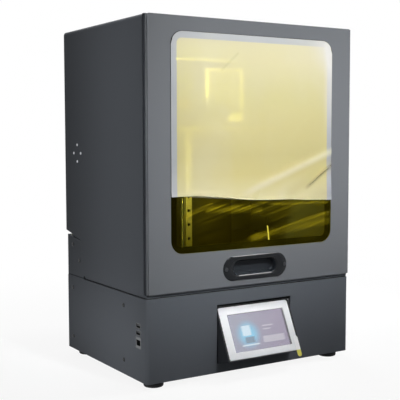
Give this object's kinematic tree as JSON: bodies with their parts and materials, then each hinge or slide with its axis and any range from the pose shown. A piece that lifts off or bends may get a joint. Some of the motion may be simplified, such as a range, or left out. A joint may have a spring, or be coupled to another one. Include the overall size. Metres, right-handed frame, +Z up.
{
  "type": "resin printer",
  "caption": "Desktop resin printer: painted sheet-metal base with a tilted touch screen, a hinged hood with a tinted window, and a screw-driven platform over a resin vat.",
  "frame": {"origin": "on the floor, under the middle of the object's box", "axes": "+X to the object's right seen from the front, -Y to the front, +Z up"},
  "size_m": [0.3856, 0.3184, 0.54],
  "materials": {
    "graphite_paint": "fine textured powder coat, satin",
    "front_paint": "fine textured powder coat, satin",
    "black_paint": "matte black coat",
    "black_plastic": "moulded, satin",
    "window_border": "black printed border",
    "amber_acrylic": "tinted acrylic, polished",
    "clear_film": "thin protective film, hazy",
    "console_plastic": "moulded, satin",
    "screen_glass": "white-backed cover glass",
    "display_face": "lit display",
    "rubber_black": "matte",
    "bright_steel": "ground",
    "dark_steel": "blackened",
    "anodised": "bead blasted, anodised",
    "black_anodised": "bead blasted, black anodised",
    "brass_nut": "turned",
    "circuit_board": "solder mask",
    "nickel_shell": "nickel plated shell",
    "motor_case": "black motor case"
  },
  "bodies": {
    "base": {"base_wrap": "graphite_paint", "bottom_plate": "graphite_paint", "base_back_panel": "graphite_paint", "deck_plate": "black_paint", "neck_frame": "black_paint", "hood_seal": "rubber_black", "hinge_beam": "graphite_paint", "hinge_leaves_fixed": "dark_steel", "hinge_pins": "bright_steel", "base_screws": "dark_steel", "feet": "rubber_black", "console_housing": "console_plastic", "touch_glass": "screen_glass", "display_panel": "display_face", "screen_film_tab": "clear_film", "usb_ports": "nickel_shell", "ethernet_port": "nickel_shell", "io_board": "circuit_board", "control_board": "circuit_board", "power_supply": "anodised", "power_inlet": "black_plastic", "switch_frame": "black_plastic", "fan_frame": "black_plastic", "fan_guard": "bright_steel", "uv_heat_sink": "anodised", "uv_led_board": "circuit_board", "uv_reflector": "anodised", "lcd_panel": "screen_glass", "z_tower": "black_anodised", "guide_rails": "bright_steel", "rail_screws": "dark_steel", "z_motor": "motor_case", "top_bearing_block": "black_anodised", "top_bearing": "bright_steel", "vat_frame": "anodised", "vat_film": "clear_film"},
    "hood": {"hood_wrap": "graphite_paint", "hood_front_panel": "front_paint", "hood_back_panel": "graphite_paint", "hood_rim": "graphite_paint", "window_frame": "window_border", "window_pane": "amber_acrylic", "window_film": "clear_film", "pull_handle": "black_plastic", "handle_screws": "bright_steel", "hood_side_screws": "bright_steel", "hinge_leaves_hood": "dark_steel"},
    "carriage": {"carriage_blocks": "bright_steel", "carriage_plate": "black_anodised", "lead_nut": "brass_nut", "platform_arm": "black_anodised", "build_platform": "anodised", "levelling_screws": "dark_steel"},
    "lead_screw": {"lead_screw": "bright_steel", "shaft_coupler": "anodised"},
    "platform_knob": {"platform_knob": "black_plastic"},
    "vat_knob_left": {"vat_knob_left": "black_plastic"},
    "vat_knob_right": {"vat_knob_right": "black_plastic"},
    "fan_rotor": {"fan_rotor": "black_plastic"},
    "power_rocker": {"power_rocker": "black_plastic"}
  },
  "joints": [
    {"name": "hood_hinge", "type": "hinge", "parent": "base", "child": "hood", "pos_m": [0, 0.15602, 0.208], "axis": [-1, 0, 0], "range_deg": [0, 60]},
    {"name": "z_slide", "type": "slide", "parent": "base", "child": "carriage", "axis": [0, 0, 1], "range_m": [-0.237, 0.005]},
    {"name": "lead_screw_turn", "type": "hinge", "parent": "base", "child": "lead_screw", "pos_m": [0, 0.09402, 0.31], "axis": [0, 0, 1], "continuous": true},
    {"name": "platform_knob_turn", "type": "hinge", "parent": "carriage", "child": "platform_knob", "pos_m": [0, 0.01502, 0.41], "axis": [0, 0, 1], "continuous": true},
    {"name": "vat_knob_left_turn", "type": "hinge", "parent": "base", "child": "vat_knob_left", "pos_m": [-0.136, 0.01502, 0.142], "axis": [0, 0, 1], "continuous": true},
    {"name": "vat_knob_right_turn", "type": "hinge", "parent": "base", "child": "vat_knob_right", "pos_m": [0.136, 0.01502, 0.142], "axis": [0, 0, 1], "continuous": true},
    {"name": "fan_spin", "type": "hinge", "parent": "base", "child": "fan_rotor", "pos_m": [0.07, 0.14402, 0.072], "axis": [0, 1, 0], "continuous": true},
    {"name": "power_rocker_tilt", "type": "hinge", "parent": "base", "child": "power_rocker", "pos_m": [-0.13, 0.15252, 0.098], "axis": [-1, 0, 0], "range_deg": [0, 16]}
  ],
  "couplings": [
    {"joint": "lead_screw_turn", "follows": "z_slide", "rad_per_m": 785.4}
  ]
}
